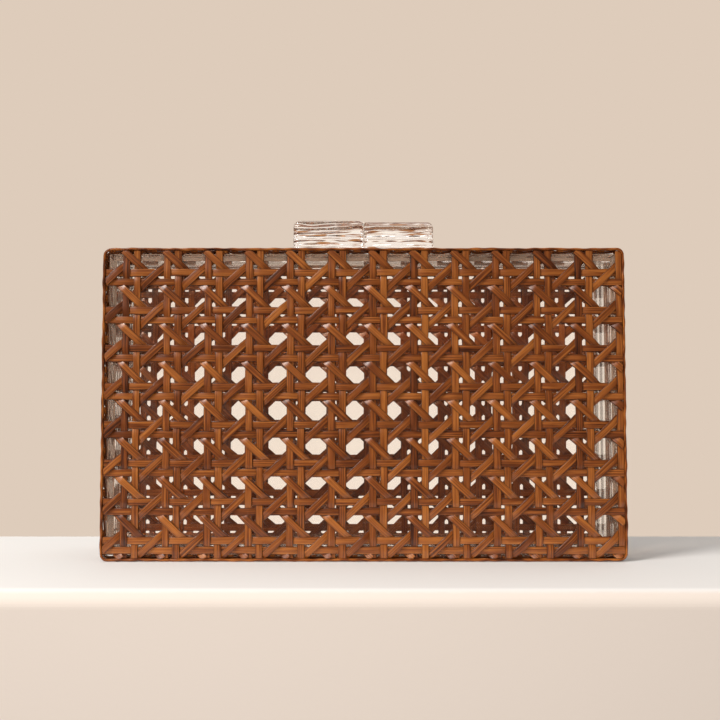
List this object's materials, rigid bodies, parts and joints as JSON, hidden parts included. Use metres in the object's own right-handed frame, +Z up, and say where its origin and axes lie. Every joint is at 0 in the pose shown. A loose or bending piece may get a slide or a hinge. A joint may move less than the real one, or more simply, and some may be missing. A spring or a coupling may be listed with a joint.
{
  "type": "box clutch",
  "caption": "Hard box clutch: clear acrylic half boxes covered in octagonal woven cane, hinged along the bottom edge and closed by a pair of clear clasp blocks on top.",
  "frame": {"origin": "middle of the closed box on the table, under its bottom edge", "axes": "+X along the width to the right seen from the front, +Y from the front face to the back face, +Z up towards the clasp"},
  "size_m": [0.206, 0.05, 0.137],
  "materials": {
    "acrylic": "clear, polished",
    "cane": "satin, warm brown",
    "binding": "satin, warm brown",
    "steel": "drawn"
  },
  "bodies": {
    "back_half": {"back_tray": "acrylic", "back_rim": "acrylic", "back_face_cane": "cane", "back_side_cane": "cane", "back_binding": "binding", "back_clasp_block": "acrylic", "hinge_pin": "steel", "pin_plugs": "acrylic"},
    "front_half": {"front_tray": "acrylic", "front_rim": "acrylic", "front_face_cane": "cane", "front_side_cane": "cane", "front_binding": "binding", "front_clasp_block": "acrylic"}
  },
  "joints": [
    {"name": "opening", "type": "hinge", "parent": "back_half", "child": "front_half", "pos_m": [0, 0, 0.0026], "axis": [1, 0, 0], "range_deg": [0, 95]}
  ]
}
